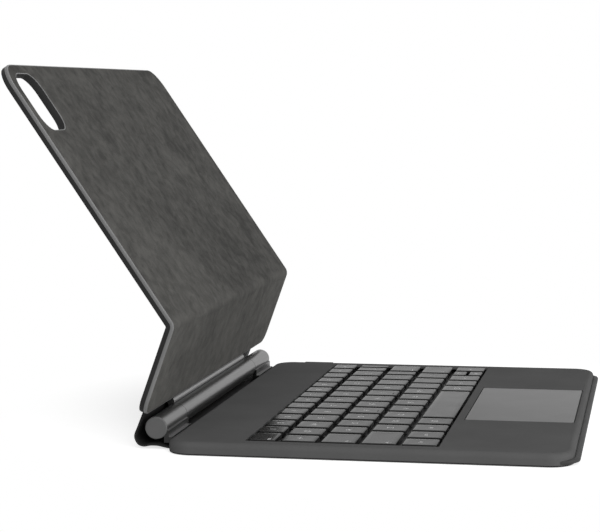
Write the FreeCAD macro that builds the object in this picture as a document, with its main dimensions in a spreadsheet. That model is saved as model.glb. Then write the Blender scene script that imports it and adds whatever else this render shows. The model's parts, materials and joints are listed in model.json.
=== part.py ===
import FreeCAD
import Part
import Sketcher
import math
import os
import re

# Tablet keyboard case: a keyboard base, a barrel hinge and a back panel that folds in two.
# Millimetres. +X is the user's right, +Y points away from the user, +Z is up.
# The origin is the centre of the base's underside, and the case stands open.

SIZES = {
    # base: skin, tray and deck
    "side_margin": 8.1,
    "front_margin": 3.4,
    "deck_height": 5.2,
    "deck_corner": 11.0,
    "deck_round": 2.6,
    "deck_wall": 1.8,
    "deck_plate": 1.2,
    "skin_thick": 0.8,
    "lip_reach": 2.6,
    "lip_height": 2.0,
    "lip_gap": 0.2,
    "tray_thick": 0.8,
    "tray_gap": 0.2,
    "rib_height": 0.3,
    "rib_width": 6.0,
    # keys
    "key_field_back": 34.9,
    "key_pitch": 17.75,
    "letter_row": 18.12,
    "number_row": 14.62,
    "escape_width": 20.86,
    "backspace_width": 15.7,
    "tab_width": 17.35,
    "bracket_width": 13.4,
    "bar_width": 8.8,
    "enter_width": 20.6,
    "quote_width": 12.7,
    "right_shift_width": 24.8,
    "right_arrow_width": 15.3,
    "up_arrow_width": 15.2,
    "arrow_split": 1.0,
    "key_gap": 2.2,
    "key_proud": 0.2,
    "key_cap": 1.8,
    "key_wall": 0.9,
    "key_shell": 0.8,
    "key_corner": 1.3,
    "key_edge": 0.3,
    "plunger_width": 3.0,
    "plunger_drop": 0.8,
    # sheets under the keys
    "plate_thick": 0.5,
    "plate_margin": 0.4,
    "membrane_thick": 0.2,
    "film_thick": 0.2,
    "dome_foot_radius": 2.6,
    "dome_top_radius": 1.2,
    "dome_gap": 0.2,
    # trackpad
    "pad_width": 96.0,
    "pad_depth": 51.0,
    "pad_back": 4.1,
    "pad_gap": 0.4,
    "pad_thick": 1.0,
    "pad_sunk": 0.1,
    "pad_corner": 1.5,
    "pad_board_thick": 0.8,
    "pad_board_inset": 2.0,
    "flexure_width": 70.0,
    "flexure_thick": 0.25,
    "flexure_gap": 0.15,
    "flexure_reach": 5.0,
    "flexure_foot": 1.6,
    "switch_width": 6.0,
    "switch_front": 6.0,
    "switch_gap": 0.55,
    "button_radius": 1.6,
    "button_height": 0.3,
    # electronics in the base
    "board_width": 136.0,
    "board_depth": 22.0,
    "board_thick": 0.8,
    "board_margin": 2.0,
    "chip_width": 9.0,
    "chip_height": 1.0,
    "socket_width": 8.9,
    "socket_height": 2.9,
    "socket_length": 7.4,
    "socket_wall": 0.3,
    "socket_back_wall": 1.0,
    "socket_round": 1.2,
    "socket_gap": 0.15,
    "socket_behind": 24.4,
    "socket_pad": 16.0,
    "tongue_width": 6.6,
    "tongue_thick": 0.7,
    "battery_width": 58.0,
    "battery_depth": 36.0,
    "battery_thick": 2.8,
    "battery_gap": 3.0,
    "magnet_length": 30.0,
    "magnet_depth": 3.0,
    "magnet_height": 2.2,
    "ribbon_width": 12.0,
    "ribbon_thick": 0.2,
    "ribbon_seat": 6.0,
    # screws
    "boss_radius": 1.8,
    "boss_ends": 8.5,
    "screw_radius": 0.75,
    "screw_gap": 0.05,
    "screw_head_radius": 1.4,
    "screw_head": 0.5,
    # barrel hinge
    "hinge_behind": 7.3,
    "hinge_height": 9.33,
    "barrel_radius": 5.17,
    "barrel_inset": 13.7,
    "middle_length": 149.4,
    "knuckle_gap": 0.3,
    "pin_radius": 1.5,
    "pin_gap": 0.03,
    "sleeve_radius": 2.5,
    "sleeve_length": 25.0,
    "cap_thick": 1.0,
    "cap_round": 0.6,
    "spigot_length": 1.5,
    "foot_rise": 2.2,
    "foot_bite": 2.0,
    "foot_step": 1.6,
    "foot_drop": 0.8,
    "leaf_lift": 1.0,
    "leaf_thick": 1.6,
    "leaf_reach": 14.5,
    "leaf_gap": 0.3,
    "fin_thick": 1.0,
    "fin_reach": 20.0,
    "fin_gap": 0.1,
    "bead_radius": 1.75,
    "bead_drop": 2.55,
    "bead_depth": 0.64,
    "rivet_radius": 1.3,
    "rivet_gap": 0.02,
    # back panel
    "panel_width": 252.4,
    "panel_lean": 70.2,
    "fold_bend": 53.99,
    "panel_offset": 3.76,
    "panel_clear": 7.14,
    "lower_length": 43.23,
    "upper_length": 139.58,
    "lining_thick": 0.4,
    "core_thick": 2.7,
    "cover_thick": 1.0,
    "fold_gap": 3.0,
    "seam_gap": 0.1,
    "top_corner": 12.0,
    "bottom_corner": 7.0,
    "camera_width": 29.5,
    "camera_height": 31.0,
    "camera_corner": 9.0,
    "camera_side": 5.4,
    "camera_top": 4.65,
    "hold_magnet_width": 8.0,
    "hold_magnet_height": 22.0,
    "hold_magnet_thick": 1.2,
    "hold_magnet_gap": 0.1,
    "hold_magnet_rise": 26.0,
    # spine flap behind the barrel
    "spine_width": 226.0,
    "spine_thick": 0.8,
    "spine_back": 10.9,
    "spine_bend": 4.6,
    "spine_lift": 0.15,
}

# Counts of like pieces.
LETTER_ROWS = 4
NUMBER_KEYS = 12
TOP_LETTERS = 11
HOME_LETTERS = 10
BOTTOM_LETTERS = 10
LEFT_COMMANDS = 4
RIGHT_COMMANDS = 2
RIVETS = 6
CHIPS = 3
MAGNET_COLUMNS = 6

# Places that follow from the sizes, each worked out once.
PLACES = {
    "key_field_width": f"tab_width + {TOP_LETTERS} * key_pitch + bracket_width + bar_width",
    "key_field_depth": f"number_row + {LETTER_ROWS} * letter_row",
    "deck_side": "key_field_width / 2 + side_margin",
    "deck_depth": "key_field_back + key_field_depth + pad_back + pad_depth + front_margin",
    "deck_rear": "deck_depth / 2",
    "deck_top": "skin_thick + deck_height",
    "deck_ceiling": "deck_top - deck_plate",
    "tray_top": "skin_thick + tray_thick",
    "hinge_line": "deck_rear + hinge_behind",
    "field_side": "key_field_width / 2",
    "field_rear": "deck_rear - key_field_back",
    "field_front": "field_rear - key_field_depth",
    "number_pitch": f"(key_field_width - escape_width - backspace_width) / {NUMBER_KEYS}",
    "caps_width": f"key_field_width - {HOME_LETTERS} * key_pitch - quote_width - enter_width",
    "left_shift_width": f"key_field_width - {BOTTOM_LETTERS} * key_pitch - right_shift_width",
    "space_width": f"key_field_width - {LEFT_COMMANDS + RIGHT_COMMANDS + 1} * key_pitch"
                   " - up_arrow_width - right_arrow_width",
    "key_top": "deck_top + key_proud",
    "key_rim": "key_top - key_cap",
    "key_hollow": "key_cap - key_shell",
    "plunger_tip": "key_top - key_shell - plunger_drop",
    "plate_floor": "tray_top + rib_height",
    "plate_top": "plate_floor + plate_thick",
    "membrane_top": "plate_top + membrane_thick",
    "dome_top": "plunger_tip - dome_gap",
    "pad_rear": "field_front - pad_back",
    "pad_front": "pad_rear - pad_depth",
    "pad_floor": "deck_top - pad_sunk - pad_thick",
    "pad_board_floor": "pad_floor - pad_board_thick",
    "switch_top": "pad_board_floor - switch_gap",
    "board_rear": "deck_rear - deck_wall - board_margin",
    "board_front": "board_rear - board_depth",
    "socket_line": "deck_rear - socket_behind",
    "socket_middle": "(tray_top + deck_ceiling) / 2",
    "leaf_floor": "tray_top + leaf_lift",
    "leaf_top": "leaf_floor + leaf_thick",
    "leaf_tip": "deck_rear - leaf_reach",
    "knuckle_start": "middle_length / 2 + knuckle_gap",
    "knuckle_end": "deck_side - barrel_inset - cap_thick",
    "knuckle_middle": "(knuckle_start + knuckle_end) / 2",
    "panel_inner": "0 - panel_offset",
    "core_inner": "panel_inner - lining_thick",
    "cover_inner": "core_inner - core_thick",
    "lower_top": "panel_clear + lower_length",
    "lower_turn": "180 - panel_lean",
    "upper_turn": "lower_turn - fold_bend",
    "fold_y": "hinge_line - cos(panel_lean) * lower_top + sin(panel_lean) * panel_offset",
    "fold_z": "hinge_height + sin(panel_lean) * lower_top + cos(panel_lean) * panel_offset",
}

os.makedirs("parts", exist_ok=True)
doc = FreeCAD.newDocument("tablet_keyboard_case")
ALIASES = re.compile(r"\b(" + "|".join(list(SIZES) + list(PLACES)) + r")\b")


def sheet_name(match):
    """Write an alias with the sheet it lives in."""
    word = match.group(1)
    return ("Sizes." if word in SIZES else "Places.") + word


def linked(text):
    return ALIASES.sub(sheet_name, text)


def fill_sheet(name, cells):
    """Make a sheet with one aliased cell a row."""
    sheet = doc.addObject("Spreadsheet::Sheet", name)
    for row, (alias, content) in enumerate(cells.items(), start=1):
        sheet.set(f"A{row}", alias)
        sheet.set(f"B{row}", content)
        sheet.setAlias(f"B{row}", alias)
    doc.recompute()
    return sheet


fill_sheet("Sizes", {name: str(size) for name, size in SIZES.items()})
places = fill_sheet("Places", {name: "=" + linked(rule) for name, rule in PLACES.items()})
nodes = []
X_AXIS = FreeCAD.Vector(1, 0, 0)
Y_AXIS = FreeCAD.Vector(0, 1, 0)
ORIGIN = FreeCAD.Vector(0, 0, 0)


def value(text):
    return float(places.evalExpression(linked(text)))


def bind(item, field, text):
    item.setExpression(field, linked(text))


def keep(item, name):
    """Name a finished piece, which makes it a node of the case."""
    item.Label = name
    nodes.append(item)
    return item


def place(item, x="0", y="0", z="0"):
    bind(item, "Placement.Base.x", x)
    bind(item, "Placement.Base.y", y)
    bind(item, "Placement.Base.z", z)


def lean(item, turn, y, z):
    """Turn a piece built flat about X, with its own origin put on a line of the panel."""
    item.Placement = FreeCAD.Placement(ORIGIN, FreeCAD.Rotation(X_AXIS, value(turn)))
    bind(item, "Placement.Rotation.Angle", turn)
    place(item, "0", y, z)


# Sketches and features of a body.

def new_body(name):
    return doc.addObject("PartDesign::Body", name)


def new_sketch(body, height="0", plane="XY_Plane"):
    sketch = body.newObject("Sketcher::SketchObject", "Outline")
    support = [part for part in body.Origin.OriginFeatures if part.Role == plane][0]
    sketch.AttachmentSupport = [(support, "")]
    sketch.MapMode = "FlatFace"
    bind(sketch, "AttachmentOffset.Base.z", height)
    return sketch


def tie(sketch, kind, geometry, point, text):
    """Hold one coordinate of a sketch point to a size."""
    number = sketch.addConstraint(Sketcher.Constraint(kind, -1, 1, geometry, point, value(text)))
    bind(sketch, f"Constraints[{number}]", text)


def rectangle(sketch, left, right, low, high):
    across = (value(left), value(right))
    along = (value(low), value(high))
    corners = [(across[0], along[0]), (across[1], along[0]), (across[1], along[1]), (across[0], along[1])]
    points = [FreeCAD.Vector(x, y, 0) for x, y in corners]
    first = sketch.GeometryCount
    sides = [Part.LineSegment(points[i], points[(i + 1) % 4]) for i in range(4)]
    sketch.addGeometry(sides, False)
    joins = [Sketcher.Constraint("Coincident", first + i, 2, first + (i + 1) % 4, 1) for i in range(4)]
    level = [Sketcher.Constraint("Horizontal", first + i) for i in (0, 2)]
    upright = [Sketcher.Constraint("Vertical", first + i) for i in (1, 3)]
    sketch.addConstraint(joins + level + upright)
    tie(sketch, "DistanceX", first, 1, left)
    tie(sketch, "DistanceX", first + 1, 1, right)
    tie(sketch, "DistanceY", first, 1, low)
    tie(sketch, "DistanceY", first + 2, 1, high)


def disc(sketch, x, y, radius):
    circle = Part.Circle(FreeCAD.Vector(value(x), value(y), 0), FreeCAD.Vector(0, 0, 1), value(radius))
    geometry = sketch.addGeometry(circle, False)
    tie(sketch, "DistanceX", geometry, 3, x)
    tie(sketch, "DistanceY", geometry, 3, y)
    number = sketch.addConstraint(Sketcher.Constraint("Radius", geometry, value(radius)))
    bind(sketch, f"Constraints[{number}]", radius)


def pad(body, sketch, length, back=False):
    feature = body.newObject("PartDesign::Pad", "Pad")
    feature.Profile = sketch
    feature.Reversed = back
    bind(feature, "Length", length)
    doc.recompute()
    return feature


def pocket(body, sketch, depth, up=True):
    """Cut a sketch into the body: up runs with the sketch plane's normal."""
    before = body.Shape.Volume
    feature = body.newObject("PartDesign::Pocket", "Pocket")
    feature.Profile = sketch
    feature.Reversed = up
    bind(feature, "Length", depth)
    doc.recompute()
    if body.Shape.Volume >= before:
        raise RuntimeError(body.Name + ": a pocket cut nothing")
    return feature


def edge_names(body, wanted):
    edges = body.Shape.Edges if body.Placement.isIdentity() else body.Tip.Shape.Edges
    return ["Edge%d" % (i + 1) for i, edge in enumerate(edges) if wanted(edge)]


def round_edges(body, wanted, radius):
    names = edge_names(body, wanted)
    feature = body.newObject("PartDesign::Fillet", "Round")
    feature.Base = (body.Group[-2], names)
    bind(feature, "Radius", radius)
    doc.recompute()
    return feature


def is_upright(edge):
    """A straight edge square to the sketch plane."""
    ends = edge.BoundBox
    return ends.XLength < 1e-6 and ends.YLength < 1e-6


def level_at(height):
    """Edges that lie at one height of the body's own frame."""
    def wanted(edge):
        box = edge.BoundBox
        return box.ZLength < 1e-6 and abs(box.ZMin - height) < 1e-6
    return wanted


def upright_between(low, high):
    """Upright edges whose Y lies in a stretch of the body's own frame."""
    def wanted(edge):
        return is_upright(edge) and low < edge.BoundBox.YMin < high
    return wanted


def plate(name, left, right, front, rear, floor, thick, corner=None):
    """A flat plate with one radius at its four corners."""
    body = new_body(name)
    sketch = new_sketch(body, floor)
    rectangle(sketch, left, right, front, rear)
    pad(body, sketch, thick)
    if corner:
        round_edges(body, is_upright, corner)
    return body


# Primitives and booleans.

def box(x, y, z, length, depth, height):
    item = doc.addObject("Part::Box", "Block")
    bind(item, "Length", length)
    bind(item, "Width", depth)
    bind(item, "Height", height)
    place(item, x, y, z)
    return item


def cylinder(x, y, z, radius, length, along_x=False):
    item = doc.addObject("Part::Cylinder", "Round")
    bind(item, "Radius", radius)
    bind(item, "Height", length)
    if along_x:
        item.Placement = FreeCAD.Placement(ORIGIN, FreeCAD.Rotation(Y_AXIS, 90))
    place(item, x, y, z)
    return item


def group(items):
    item = doc.addObject("Part::Compound", "Group")
    item.Links = items
    return item


def fuse(items):
    item = doc.addObject("Part::MultiFuse", "Joined")
    item.Shapes = items
    return item


def cut(base, tools):
    item = doc.addObject("Part::Cut", "Cut")
    item.Base = base
    item.Tool = tools[0] if len(tools) == 1 else group(tools)
    return item


# Base skin: a thin leather-like sheet under the base, with a lip along the front edge and round its corners.
skin = plate("base_skin", "-deck_side", "deck_side", "-deck_rear", "deck_rear", "0", "skin_thick",
             "deck_corner")
lip = new_sketch(skin)
rectangle(lip, "-deck_side", "deck_side", "-deck_rear - lip_reach", "-deck_rear + deck_corner")
pad(skin, lip, "lip_height")
lip_front = value("-deck_rear - lip_reach")
round_edges(skin, upright_between(lip_front - 1, lip_front + 1), "deck_corner")
room = new_sketch(skin, "skin_thick")
rectangle(room, "-deck_side + deck_corner", "deck_side - deck_corner", "-deck_rear - lip_gap",
          "-deck_rear + deck_corner")
pocket(skin, room, "lip_height - skin_thick")
room_ends = new_sketch(skin, "skin_thick")
for side in (-1, 1):
    disc(room_ends, f"{side} * (deck_side - deck_corner)", "-deck_rear + deck_corner", "deck_corner + lip_gap")
pocket(skin, room_ends, "lip_height - skin_thick")
keep(skin, "base_skin")

# Bottom tray: closes the deck from below, with ribs under the key plate and bosses for the hinge leaves.
TRAY_SIDE = "deck_side - deck_wall - tray_gap"
TRAY_END = "deck_rear - deck_wall - tray_gap"
tray = plate("bottom_tray", f"-({TRAY_SIDE})", TRAY_SIDE, f"-({TRAY_END})", TRAY_END, "skin_thick",
             "tray_thick", "deck_corner - deck_wall - tray_gap")
ribs = new_sketch(tray, "tray_top")
for rib in ("-field_side + rib_width", "-rib_width * 5", "rib_width * 5", "field_side - rib_width"):
    rectangle(ribs, f"{rib} - rib_width / 2", f"{rib} + rib_width / 2", "field_front", "field_rear")
pad(tray, ribs, "rib_height")
LEAF_SCREWS = [(f"{side} * (knuckle_middle + {shift} * (knuckle_end - knuckle_start) / 3)",
                "(leaf_tip + deck_rear - deck_wall) / 2") for side in (-1, 1) for shift in (-1, 1)]
stands = new_sketch(tray, "tray_top")
for x, y in LEAF_SCREWS:
    disc(stands, x, y, "boss_radius")
pad(tray, stands, "leaf_lift")
threads = new_sketch(tray, "skin_thick")
for x, y in LEAF_SCREWS:
    disc(threads, x, y, "screw_radius + screw_gap")
pocket(tray, threads, "tray_thick + leaf_lift")
BOSS_LINES = ("deck_rear - boss_ends - deck_depth / 5", "0 - deck_depth / 8", "-deck_rear + boss_ends")
BOSS_SIDE = "field_side + plate_margin + tray_gap + boss_radius"
DECK_SCREWS = [(f"{side} * ({BOSS_SIDE})", y) for side in (-1, 1) for y in BOSS_LINES]
head_holes = new_sketch(tray, "skin_thick")
for x, y in DECK_SCREWS:
    disc(head_holes, x, y, "screw_head_radius + screw_gap")
pocket(tray, head_holes, "tray_thick")
keep(tray, "bottom_tray")

# Top deck: the soft-touch shell, with the key well, the trackpad window and the charging socket's seat.
deck = plate("top_deck", "-deck_side", "deck_side", "-deck_rear", "deck_rear", "skin_thick", "deck_height",
             "deck_corner")
round_edges(deck, level_at(value("deck_top")), "deck_round")
seat = new_sketch(deck, "skin_thick")
SEAT_LOW = "socket_line - socket_pad / 2"
SEAT_HIGH = "socket_line + socket_pad / 2"
rectangle(seat, "deck_side - deck_wall - deck_round", "deck_side", SEAT_LOW, SEAT_HIGH)
pad(deck, seat, "deck_height")
hollow = new_sketch(deck, "skin_thick")
rectangle(hollow, "-deck_side + deck_wall", "deck_side - deck_wall", "-deck_rear + deck_corner",
          "deck_rear - deck_corner")
pocket(deck, hollow, "deck_height - deck_plate")
ends = new_sketch(deck, "skin_thick")
rectangle(ends, "-deck_side + deck_corner", "deck_side - deck_corner", "-deck_rear + deck_wall",
          "deck_rear - deck_wall")
pocket(deck, ends, "deck_height - deck_plate")
corners = new_sketch(deck, "skin_thick")
for side in (-1, 1):
    for end in (-1, 1):
        disc(corners, f"{side} * (deck_side - deck_corner)", f"{end} * (deck_rear - deck_corner)",
             "deck_corner - deck_wall")
pocket(deck, corners, "deck_height - deck_plate")
bosses = new_sketch(deck, "tray_top")
for x, y in DECK_SCREWS:
    disc(bosses, x, y, "boss_radius")
pad(deck, bosses, "deck_ceiling - tray_top")
threads = new_sketch(deck, "tray_top")
for x, y in DECK_SCREWS:
    disc(threads, x, y, "screw_radius + screw_gap")
pocket(deck, threads, "deck_ceiling - tray_top - deck_plate / 2")
windows = new_sketch(deck, "deck_ceiling")
rectangle(windows, "-field_side", "field_side", "field_front", "field_rear")
rectangle(windows, "-pad_width / 2 - pad_gap", "pad_width / 2 + pad_gap", "pad_front - pad_gap",
          "pad_rear + pad_gap")
pocket(deck, windows, "deck_plate")
notches = new_sketch(deck, "skin_thick")
for side in (-1, 1):
    inner = f"{side} * (knuckle_start - leaf_gap)"
    outer = f"{side} * (knuckle_end + leaf_gap)"
    first, last = (inner, outer) if side > 0 else (outer, inner)
    rectangle(notches, first, last, "deck_rear - deck_wall - leaf_gap", "deck_rear")
pocket(deck, notches, "leaf_top + leaf_gap - skin_thick")
port = new_sketch(deck, "deck_side - deck_wall - deck_round", "YZ_Plane")
rectangle(port, "socket_line - socket_width / 2 - socket_gap", "socket_line + socket_width / 2 + socket_gap",
          "socket_middle - socket_height / 2 - socket_gap", "socket_middle + socket_height / 2 + socket_gap")
pocket(deck, port, "deck_wall + deck_round")
keep(deck, "top_deck")

# Screws: six that hold the tray to the deck from below, and two through each hinge leaf.
deck_screws = []
for x, y in DECK_SCREWS:
    head = cylinder(x, y, "skin_thick + screw_gap", "screw_head_radius", "screw_head")
    shank = cylinder(x, y, "skin_thick + screw_gap", "screw_radius", "tray_thick + tray_top")
    deck_screws.append(fuse([head, shank]))
keep(group(deck_screws), "deck_screws")
leaf_screws = []
for x, y in LEAF_SCREWS:
    head = cylinder(x, y, "leaf_top", "screw_head_radius", "screw_head")
    shank = cylinder(x, y, "skin_thick + screw_gap", "screw_radius", "leaf_top - skin_thick")
    leaf_screws.append(fuse([head, shank]))
keep(group(leaf_screws), "leaf_screws")

# Sheets under the keys: a steel plate on the tray's ribs, the switch membrane, and a film of rubber domes.
keep(plate("key_plate", "-field_side - plate_margin", "field_side + plate_margin",
           "field_front - plate_margin", "field_rear + plate_margin", "plate_floor", "plate_thick"),
     "key_plate")
keep(plate("switch_membrane", "-field_side", "field_side", "field_front", "field_rear", "plate_top",
           "membrane_thick"), "switch_membrane")
film = box("-field_side", "field_front", "membrane_top", "2 * field_side", "field_rear - field_front",
           "film_thick")

# Keys: caps with a hollow underside and a plunger that meets the dome below.
domes = []


def make_key(left, right, front, rear):
    body = new_body("Key")
    outline = new_sketch(body, "key_rim")
    rectangle(outline, left, right, front, rear)
    pad(body, outline, "key_cap")
    round_edges(body, is_upright, "key_corner")
    round_edges(body, level_at(value("key_top")), "key_edge")
    inside = new_sketch(body, "key_rim")
    rectangle(inside, f"{left} + key_wall", f"{right} - key_wall", f"{front} + key_wall",
              f"{rear} - key_wall")
    pocket(body, inside, "key_hollow")
    middle_x = f"({left} + {right}) / 2"
    middle_y = f"({front} + {rear}) / 2"
    stem = new_sketch(body, "plunger_tip")
    rectangle(stem, f"{middle_x} - plunger_width / 2", f"{middle_x} + plunger_width / 2",
              f"{middle_y} - plunger_width / 2", f"{middle_y} + plunger_width / 2")
    pad(body, stem, "plunger_drop")
    dome = doc.addObject("Part::Cone", "Dome")
    bind(dome, "Radius1", "dome_foot_radius")
    bind(dome, "Radius2", "dome_top_radius")
    bind(dome, "Height", "dome_top - membrane_top")
    place(dome, middle_x, middle_y, "membrane_top")
    domes.append(dome)
    return body


# Each row runs from the user's left: node, width of a key, keys in the node.
KEY_ROWS = [
    [("key_escape", "escape_width", 1), ("keys_numbers", "number_pitch", NUMBER_KEYS),
     ("key_backspace", "backspace_width", 1)],
    [("key_tab", "tab_width", 1), ("keys_top_letters", "key_pitch", TOP_LETTERS),
     ("key_bracket", "bracket_width", 1), ("key_bar", "bar_width", 1)],
    [("key_caps", "caps_width", 1), ("keys_home_letters", "key_pitch", HOME_LETTERS),
     ("key_quote", "quote_width", 1), ("key_enter", "enter_width", 1)],
    [("key_shift_left", "left_shift_width", 1), ("keys_bottom_letters", "key_pitch", BOTTOM_LETTERS),
     ("key_shift_right", "right_shift_width", 1)],
    [("keys_left_commands", "key_pitch", LEFT_COMMANDS), ("key_space", "space_width", 1),
     ("keys_right_commands", "key_pitch", RIGHT_COMMANDS), ("key_arrow_left", "key_pitch", 1),
     ("arrow_pair", "up_arrow_width", 1), ("key_arrow_right", "right_arrow_width", 1)],
]
row_rear = "field_rear"
for row, runs in enumerate(KEY_ROWS):
    row_depth = "number_row" if row == 0 else "letter_row"
    rear = f"{row_rear} - key_gap / 2"
    front = f"{row_rear} - {row_depth} + key_gap / 2"
    start = "-field_side"
    for name, width, count in runs:
        if name == "arrow_pair":
            left = f"{start} + key_gap / 2"
            right = f"{start} + {width} - key_gap / 2"
            split = f"{row_rear} - {row_depth} / 2"
            keep(make_key(left, right, f"{split} + arrow_split / 2", rear), "key_arrow_up")
            keep(make_key(left, right, front, f"{split} - arrow_split / 2"), "key_arrow_down")
        else:
            caps = []
            for number in range(count):
                left = f"{start} + {number} * {width} + key_gap / 2"
                right = f"{start} + {number + 1} * {width} - key_gap / 2"
                caps.append(make_key(left, right, front, rear))
            keep(caps[0] if count == 1 else group(caps), name)
        start = f"{start} + {count} * {width}"
    row_rear = f"{row_rear} - {row_depth}"
keep(fuse([film] + domes), "dome_sheet")

# Trackpad: a plate with its board under it, a flexure at the rear edge and a switch under the front.
keep(plate("trackpad_plate", "-pad_width / 2", "pad_width / 2", "pad_front", "pad_rear", "pad_floor",
           "pad_thick", "pad_corner"), "trackpad_plate")
keep(plate("trackpad_board", "-pad_width / 2 + pad_board_inset", "pad_width / 2 - pad_board_inset",
           "pad_front + pad_board_inset", "pad_rear - pad_board_inset", "pad_board_floor",
           "pad_board_thick"), "trackpad_board")
FLEXURE_FLOOR = "pad_board_floor - flexure_gap - flexure_thick"
flexure = box("-flexure_width / 2", "pad_rear - pad_board_inset - flexure_reach", FLEXURE_FLOOR,
              "flexure_width", "flexure_reach + pad_board_inset + 2 * pad_gap + flexure_foot",
              "flexure_thick")
flexure_foot = box("-flexure_width / 2", "pad_rear + 2 * pad_gap", FLEXURE_FLOOR, "flexure_width",
                   "flexure_foot", f"deck_ceiling - ({FLEXURE_FLOOR})")
keep(fuse([flexure, flexure_foot]), "trackpad_flexure")
switch = box("-switch_width / 2", "pad_front + switch_front - switch_width / 2", "tray_top", "switch_width",
             "switch_width", "switch_top - button_height - tray_top")
button = cylinder("0", "pad_front + switch_front", "tray_top", "button_radius", "switch_top - tray_top")
keep(fuse([switch, button]), "trackpad_switch")

# Main board: behind the keys, with an arm that reaches the charging socket at the right edge.
ARM_END = "deck_side - socket_length - socket_gap"
bare_board = box("-board_width / 2", "board_front", "tray_top", "board_width", "board_depth", "board_thick")
arm = box("board_width / 2 - board_margin", "board_front", "tray_top",
          f"{ARM_END} - board_width / 2 + board_margin", "leaf_tip - board_margin - board_front",
          "board_thick")
chips = [box(f"({number} - {CHIPS} / 2) * 3 * chip_width", "board_rear - board_depth / 2 - chip_width / 2",
             "tray_top", "chip_width", "chip_width", "board_thick + chip_height") for number in range(CHIPS)]
keep(fuse([bare_board, arm] + chips), "main_board")

# Charging socket: a thin metal shell with a contact tongue, let into the deck's right wall.
socket = new_body("charging_socket")
shell = new_sketch(socket, "deck_side - socket_length", "YZ_Plane")
rectangle(shell, "socket_line - socket_width / 2", "socket_line + socket_width / 2",
          "socket_middle - socket_height / 2", "socket_middle + socket_height / 2")
pad(socket, shell, "socket_length")
round_edges(socket, lambda edge: edge.BoundBox.YLength < 1e-6 and edge.BoundBox.ZLength < 1e-6,
            "socket_round")
mouth = new_sketch(socket, "deck_side", "YZ_Plane")
rectangle(mouth, "socket_line - socket_width / 2 + socket_wall + socket_round / 2",
          "socket_line + socket_width / 2 - socket_wall - socket_round / 2",
          "socket_middle - socket_height / 2 + socket_wall",
          "socket_middle + socket_height / 2 - socket_wall")
pocket(socket, mouth, "socket_length - socket_back_wall", up=False)
tongue = new_sketch(socket, "deck_side - socket_length", "YZ_Plane")
rectangle(tongue, "socket_line - tongue_width / 2", "socket_line + tongue_width / 2",
          "socket_middle - tongue_thick / 2", "socket_middle + tongue_thick / 2")
pad(socket, tongue, "socket_length - socket_back_wall")
keep(socket, "charging_socket")

# Batteries beside the trackpad, closing magnets in front of them, and flat ribbon cables.
BATTERY_NEAR = "pad_width / 2 + pad_gap + battery_gap"
BATTERY_FRONT = "-deck_rear + deck_wall + magnet_depth + battery_gap"
for side, name in ((-1, "battery_left"), (1, "battery_right")):
    near = BATTERY_NEAR if side > 0 else f"-({BATTERY_NEAR}) - battery_width"
    keep(box(near, BATTERY_FRONT, "tray_top", "battery_width", "battery_depth", "battery_thick"), name)
closers = []
for side in (-1, 1):
    middle = f"{side} * ({BATTERY_NEAR} + battery_width / 2)"
    closers.append(box(f"{middle} - magnet_length / 2", "-deck_rear + deck_wall + 2 * tray_gap", "tray_top",
                       "magnet_length", "magnet_depth", "magnet_height"))
keep(group(closers), "closing_magnets")
key_ribbon = box("-2 * ribbon_width", "field_rear", "max(plate_top; tray_top + board_thick)",
                 "ribbon_width", "board_front + ribbon_seat - field_rear", "ribbon_thick")
pad_ribbon = box("-ribbon_width / 2", "pad_rear - ribbon_seat", "tray_top", "ribbon_width",
                 "board_front - tray_gap - pad_rear + ribbon_seat", "ribbon_thick")
keep(group([key_ribbon, pad_ribbon]), "ribbon_cables")

# End knuckles of the barrel: each is bored for the hinge pin, with a web and a foot down to a leaf in the base.
FOOT_REAR = "hinge_line - pin_radius - foot_bite"
for side, name in ((-1, "base_knuckle_left"), (1, "base_knuckle_right")):
    start = "knuckle_start" if side > 0 else "-knuckle_end"
    length = "knuckle_end - knuckle_start"
    tube = cylinder(start, "hinge_line", "hinge_height", "barrel_radius", length, along_x=True)
    web = box(start, "deck_rear + foot_step", "leaf_floor", length, f"{FOOT_REAR} - deck_rear - foot_step",
              "deck_top + foot_rise - leaf_floor")
    foot = box(start, "deck_rear + tray_gap", "leaf_floor", length, f"{FOOT_REAR} - deck_rear - tray_gap",
               "deck_top - foot_drop - leaf_floor")
    leaf = box(start, "leaf_tip", "leaf_floor", length, "deck_rear + 2 * tray_gap - leaf_tip", "leaf_thick")
    bore = cylinder(start, "hinge_line", "hinge_height", "pin_radius + pin_gap", length, along_x=True)
    holes = [cylinder(x, y, "leaf_floor", "screw_radius + screw_gap", "leaf_thick")
             for x, y in LEAF_SCREWS]
    keep(cut(fuse([tube, web, foot, leaf]), [bore] + holes), name)

# Hinge pins, fixed in the end knuckles, and the caps that close the barrel's ends.
PIN_LENGTH = "knuckle_end - spigot_length - middle_length / 2 + sleeve_length"
for side, name in ((-1, "hinge_pin_left"), (1, "hinge_pin_right")):
    start = "middle_length / 2 - sleeve_length" if side > 0 else "spigot_length - knuckle_end"
    keep(cylinder(start, "hinge_line", "hinge_height", "pin_radius", PIN_LENGTH, along_x=True), name)
for side, name in ((-1, "end_cap_left"), (1, "end_cap_right")):
    cap = new_body(name)
    face = new_sketch(cap, f"{side} * knuckle_end", "YZ_Plane")
    disc(face, "hinge_line", "hinge_height", "barrel_radius")
    pad(cap, face, "cap_thick", back=side < 0)
    outer = value(f"{side} * (knuckle_end + cap_thick)")
    round_edges(cap, lambda edge: abs(edge.BoundBox.XMin - outer) + edge.BoundBox.XLength < 1e-6, "cap_round")
    spigot = new_sketch(cap, f"{side} * (knuckle_end - spigot_length)", "YZ_Plane")
    disc(spigot, "hinge_line", "hinge_height", "pin_radius")
    pad(cap, spigot, "spigot_length", back=side < 0)
    keep(cap, name)

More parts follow.
